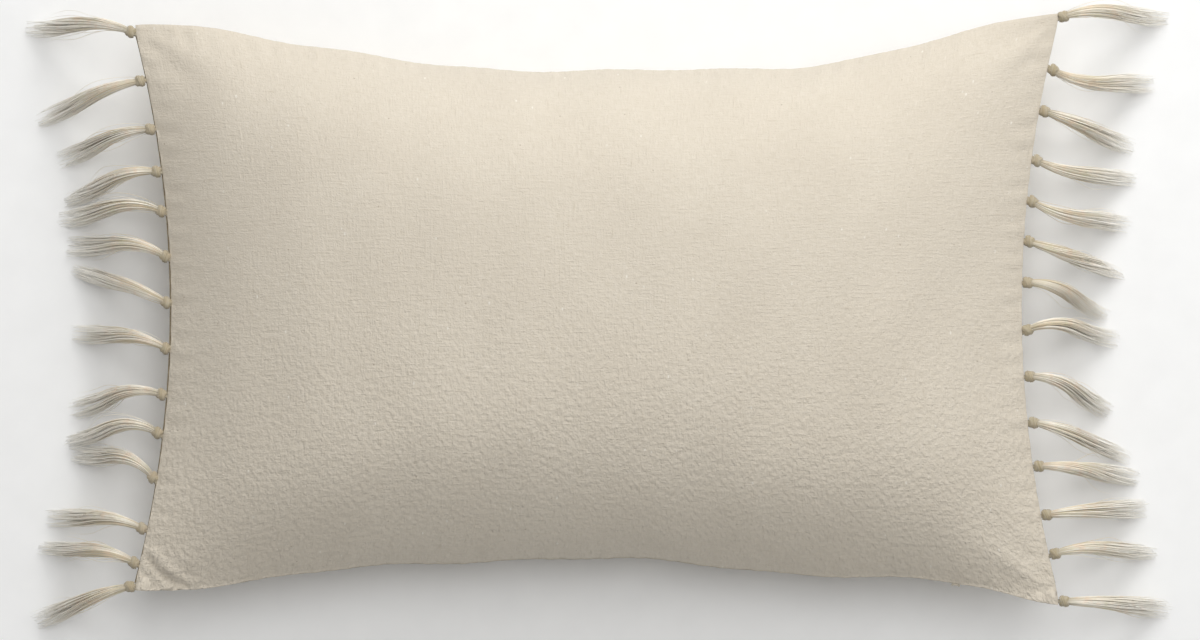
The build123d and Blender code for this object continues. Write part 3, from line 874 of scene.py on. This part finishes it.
def skirt(chance, number, t, middle, level, upward):
    """All yarns of a tassel as tubes round its middle line.

    A yarn's place in the round section is the bundle's radius times the square root of its
    share of the count. Smooth chance and its clump's direction are added as the bundle opens.
    """
    angle = np.arange(YARNS) * GOLDEN_ANGLE + chance.uniform(0, 0.5, YARNS)
    spread = np.sqrt((np.arange(YARNS) + 0.5) / YARNS)
    clumps = 2 + number % 3
    clump = (angle % math.tau / math.tau * clumps).astype(int) % clumps
    clump_angle = (np.arange(clumps) + 0.5) * math.tau / clumps + chance.normal(0, 0.3, clumps)
    body = np.interp(t, BUNDLE_AT, BUNDLE_RADIUS) * MM
    twist = chance.normal(0, 1.2) * t
    wide = body * spread[:, None] * np.cos(angle[:, None] + twist)
    tall = body * spread[:, None] * np.sin(angle[:, None] + twist)
    open_out = np.clip((t - 0.25) / 0.75, 0, 1) ** 1.5
    wide = wide + 2.0 * MM * open_out * np.cos(clump_angle[clump])[:, None]
    wide = wide + 0.8 * MM * smooth_chance(chance, YARNS, STEPS, 4) * open_out
    tall = tall * np.interp(t, [0, 0.5, 1], [1, 0.9, 0.6])
    tall = tall + 0.6 * MM * smooth_chance(chance, YARNS, STEPS, 4) * open_out
    stray = np.arange(YARNS) >= YARNS - STRAYS
    roam = 3.2 * MM * smooth_chance(chance, YARNS, STEPS, 3) * np.clip(t * 2, 0, 1)
    wide = wide + np.where(stray[:, None], roam, 0)
    lines = middle + wide[..., None] * level + tall[..., None] * upward

    # each yarn ends at its own length: its points are read again at shares of that length
    length = chance.uniform(0.84, 1.04, YARNS) * np.where(stray, 0.9, 1.0)
    place = t * length[:, None] * (STEPS - 1)
    low = np.clip(place.astype(int), 0, STEPS - 2)
    part = (place - low)[..., None]
    rows = np.arange(YARNS)[:, None]
    lines = lines[rows, low] * (1 - part) + lines[rows, low + 1] * part
    lines[..., 2] = np.maximum(lines[..., 2], 0.5 * MM + 1.2 * MM * chance.random((YARNS, 1)))
    thick = np.where(stray, 0.17, chance.uniform(0.26, 0.42, YARNS)) * MM
    radius = thick[:, None] * np.interp(t, [0, 0.8, 1], [1, 0.9, 0.25])
    return tubes(lines, radius, chance.random(YARNS), t * length[:, None])


# %% [markdown]
# ## The knot
#
# An overhand knot shows as a small ball of yarn with turns that cross. Two sets of rings do it:
# each set shrinks towards both ends of the ball, and the two lean opposite ways.

# %% The knot of crossing wraps
KNOT_PLACE = 0.048  # share of the way along the tassel
WRAPS = 7  # rings in each set
WRAP_POINTS = 25
WRAP_PITCH = 0.66 * MM
# painted shade: the knot's wraps keep to the darker yarn shades, and their place along puts them in the darkened
# part
WRAP_SHADE, WRAP_ALONG = 0.6, 0.03  # the lightest yarn in a knot, and where it counts as being


def knot(chance, at, forward, sideward, up):
    """The knot's two sets of wraps as tubes, round the point at.

    A wrap's radius follows an ellipse along the tassel. Its tilt moves each point forwards by a
    distance times the cosine of its turn.
    """
    turn = np.linspace(0, math.tau, WRAP_POINTS)
    shift = (np.arange(WRAPS) - (WRAPS - 1) / 2) * WRAP_PITCH
    everywhere = np.ones((WRAPS, WRAP_POINTS))
    parts = []
    for tilt, lift in ((1.0, 0.0), (-0.9, 0.45)):
        fat = (3.3 + lift) * MM * np.sqrt(1 - (shift / (2.5 * MM)) ** 2 * 0.75)
        axial = shift[:, None] + tilt * 1.3 * MM * np.cos(turn)
        ring = (
            at
            + axial[..., None] * forward
            + (fat[:, None] * np.cos(turn))[..., None] * sideward
            + (fat[:, None] * np.sin(turn) * 0.9)[..., None] * up
        )
        ring += chance.normal(0, 0.08 * MM, (WRAPS, 1, 3))
        shades = chance.random(WRAPS) * WRAP_SHADE
        parts.append(tubes(ring, 0.5 * MM * everywhere, shades, WRAP_ALONG * everywhere))
    return parts


# %% Building the 28 tassels
def joined(parts):
    """Several sets of tubes as one: points, quads, and every point's shade and place along."""
    before = np.cumsum([0] + [len(part[0]) for part in parts[:-1]])
    quads = np.concatenate([part[1] + first for part, first in zip(parts, before)])
    points, shades, far = (np.concatenate([part[item] for part in parts]) for item in (0, 2, 3))
    return points, quads, shades, far


def tassel(name, side, number, row, joint):
    """A knotted tassel that turns on its own joint; gives back its number of points."""
    chance = np.random.default_rng(100 * (side + 2) + number)
    t, middle, ahead, level, upward = tassel_line(side, number, row, joint["pos_m"][2])
    parts = [skirt(chance, number, t, middle, level, upward)]
    at = np.array([np.interp(KNOT_PLACE, t, middle[:, axis]) for axis in range(3)])
    near = round(KNOT_PLACE * (STEPS - 1))
    parts += knot(chance, at, ahead[near], level[near], upward[near])
    points, quads, shades, far = joined(parts)
    piece = put_mesh(name, points, quads)
    for attribute, values in (("shade", shades), ("along", far)):
        layer = piece.data.attributes.new(attribute, "FLOAT", "POINT")
        layer.data.foreach_set("value", values.astype(np.float32))
    piece.data.materials.append(yarn.material)
    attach(piece, joint["child"])
    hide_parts(joint["child"])
    return len(points)


swings = {joint["child"]: joint for joint in frame["joints"]}
made = 0
for side_name, side, row in (("left", -1, LEFT), ("right", 1, RIGHT)):
    for number in range(14):
        node = f"{side_name}_tassel_{number + 1:02d}"
        made += tassel(f"{side_name}_fringe_{number + 1:02d}", side, number, row, swings[node])
print("28 tassels with", made, "points")

# %% [markdown]
# ## Tapes, thread and zipper
#
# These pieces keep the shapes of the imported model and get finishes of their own: a herringbone
# tape that the tassels are tied to, glossy sewing thread, a woven zipper tape, nylon coils and
# a slider of lacquered zinc.

# %% Finishes for the small parts
def small_finish(name, light, dark, roughness, scale, depth, **plain):
    """A two-tone finish on Object coordinates with a little relief of the same pattern."""
    finish = Finish(name, roughness, **plain)
    where = finish.add("TexCoord").outputs["Object"]
    grain = finish.noise(where, scale, 3.0)
    finish.colour(finish.blend(finish.steps(grain, 0.35, 0.65), dark, light))
    finish.bump(grain, depth, 0.7)
    return finish.material


small_finishes = {
    "tape": small_finish("woven_tape", srgb(150, 136, 112), srgb(104, 92, 72), 0.9, 1400.0, 0.0003),
    "thread": small_finish(
        "sewing_thread", srgb(214, 204, 184), srgb(182, 170, 148), 0.55, 2600.0, 0.0001
    ),
    "zipper_tape": small_finish(
        "zipper_tape", srgb(214, 205, 188), srgb(190, 180, 162), 0.85, 1600.0, 0.0002
    ),
    "zipper_coil": small_finish(
        "nylon_coil", srgb(222, 214, 198), srgb(204, 195, 178), 0.35, 900.0, 0.0001
    ),
    "slider": small_finish(
        "lacquered_zinc", srgb(206, 196, 176), srgb(190, 180, 160), 0.32, 300.0, 0.00003,
        Coat_Weight=0.5, Coat_Roughness=0.2,
    ),
}
slots_used = {row["node"]: row["material_slot"] for row in frame["record"]["subparts"]}
for node, cad_piece in frame["nodes"].items():
    finish = small_finishes.get(slots_used.get(node, "thread"), small_finishes["thread"])
    cad_piece.data.materials.clear()
    cad_piece.data.materials.append(finish)
print("finishes for", len(frame["nodes"]), "packed nodes")

# %% [markdown]
# ## The coils, turn by turn
#
# A coil zipper is one nylon wire wound into a helix along each tape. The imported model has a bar
# for each coil; here each bar becomes its helix. The wire runs round a flattened circle whose
# centre travels along the bottom seam's arc, and one turn takes as long as one tooth.

# %% Coil helices
COIL_TURNS = 340
POINTS_PER_TURN = 8
COIL_REACH = 1.8 * MM  # half the coil's width
WIRE = 0.22 * MM  # the wire's radius


def coil(name, node):
    """A helix along the zipper's arc: the arc's angle grows evenly while the wire circles.

    The arc's centre lies on the Y axis, below the pillow, at the height where the joint turns.
    """
    low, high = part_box(node)
    hub = np.array(swings["zipper_slider"]["pos_m"])
    outer = high.y - hub[1]  # the arc's outer radius, at the middle of the zipper
    half_angle = math.asin(high.x / outer)
    turn = np.linspace(0, COIL_TURNS * math.tau, COIL_TURNS * POINTS_PER_TURN + 1)
    place = np.linspace(-half_angle, half_angle, len(turn))
    out = outer - COIL_REACH + (COIL_REACH - WIRE) * np.cos(turn)
    tall = (high.z - low.z) / 2 - WIRE
    height = (low.z + high.z) / 2 + tall * np.sin(turn)
    line = np.stack([hub[0] + out * np.sin(place), hub[1] + out * np.cos(place), height], axis=1)
    none = np.zeros((1, len(turn)))
    points, quads, _, _ = tubes(line[None], none + WIRE, np.zeros(1), none)
    piece = put_mesh(name, points, quads)
    piece.data.materials.append(small_finishes["zipper_coil"])
    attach(piece, "cushion")
    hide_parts(node)
    print(name, COIL_TURNS, "turns")


coil("coil_front", "zipper_coil_front")
coil("coil_back", "zipper_coil_back")
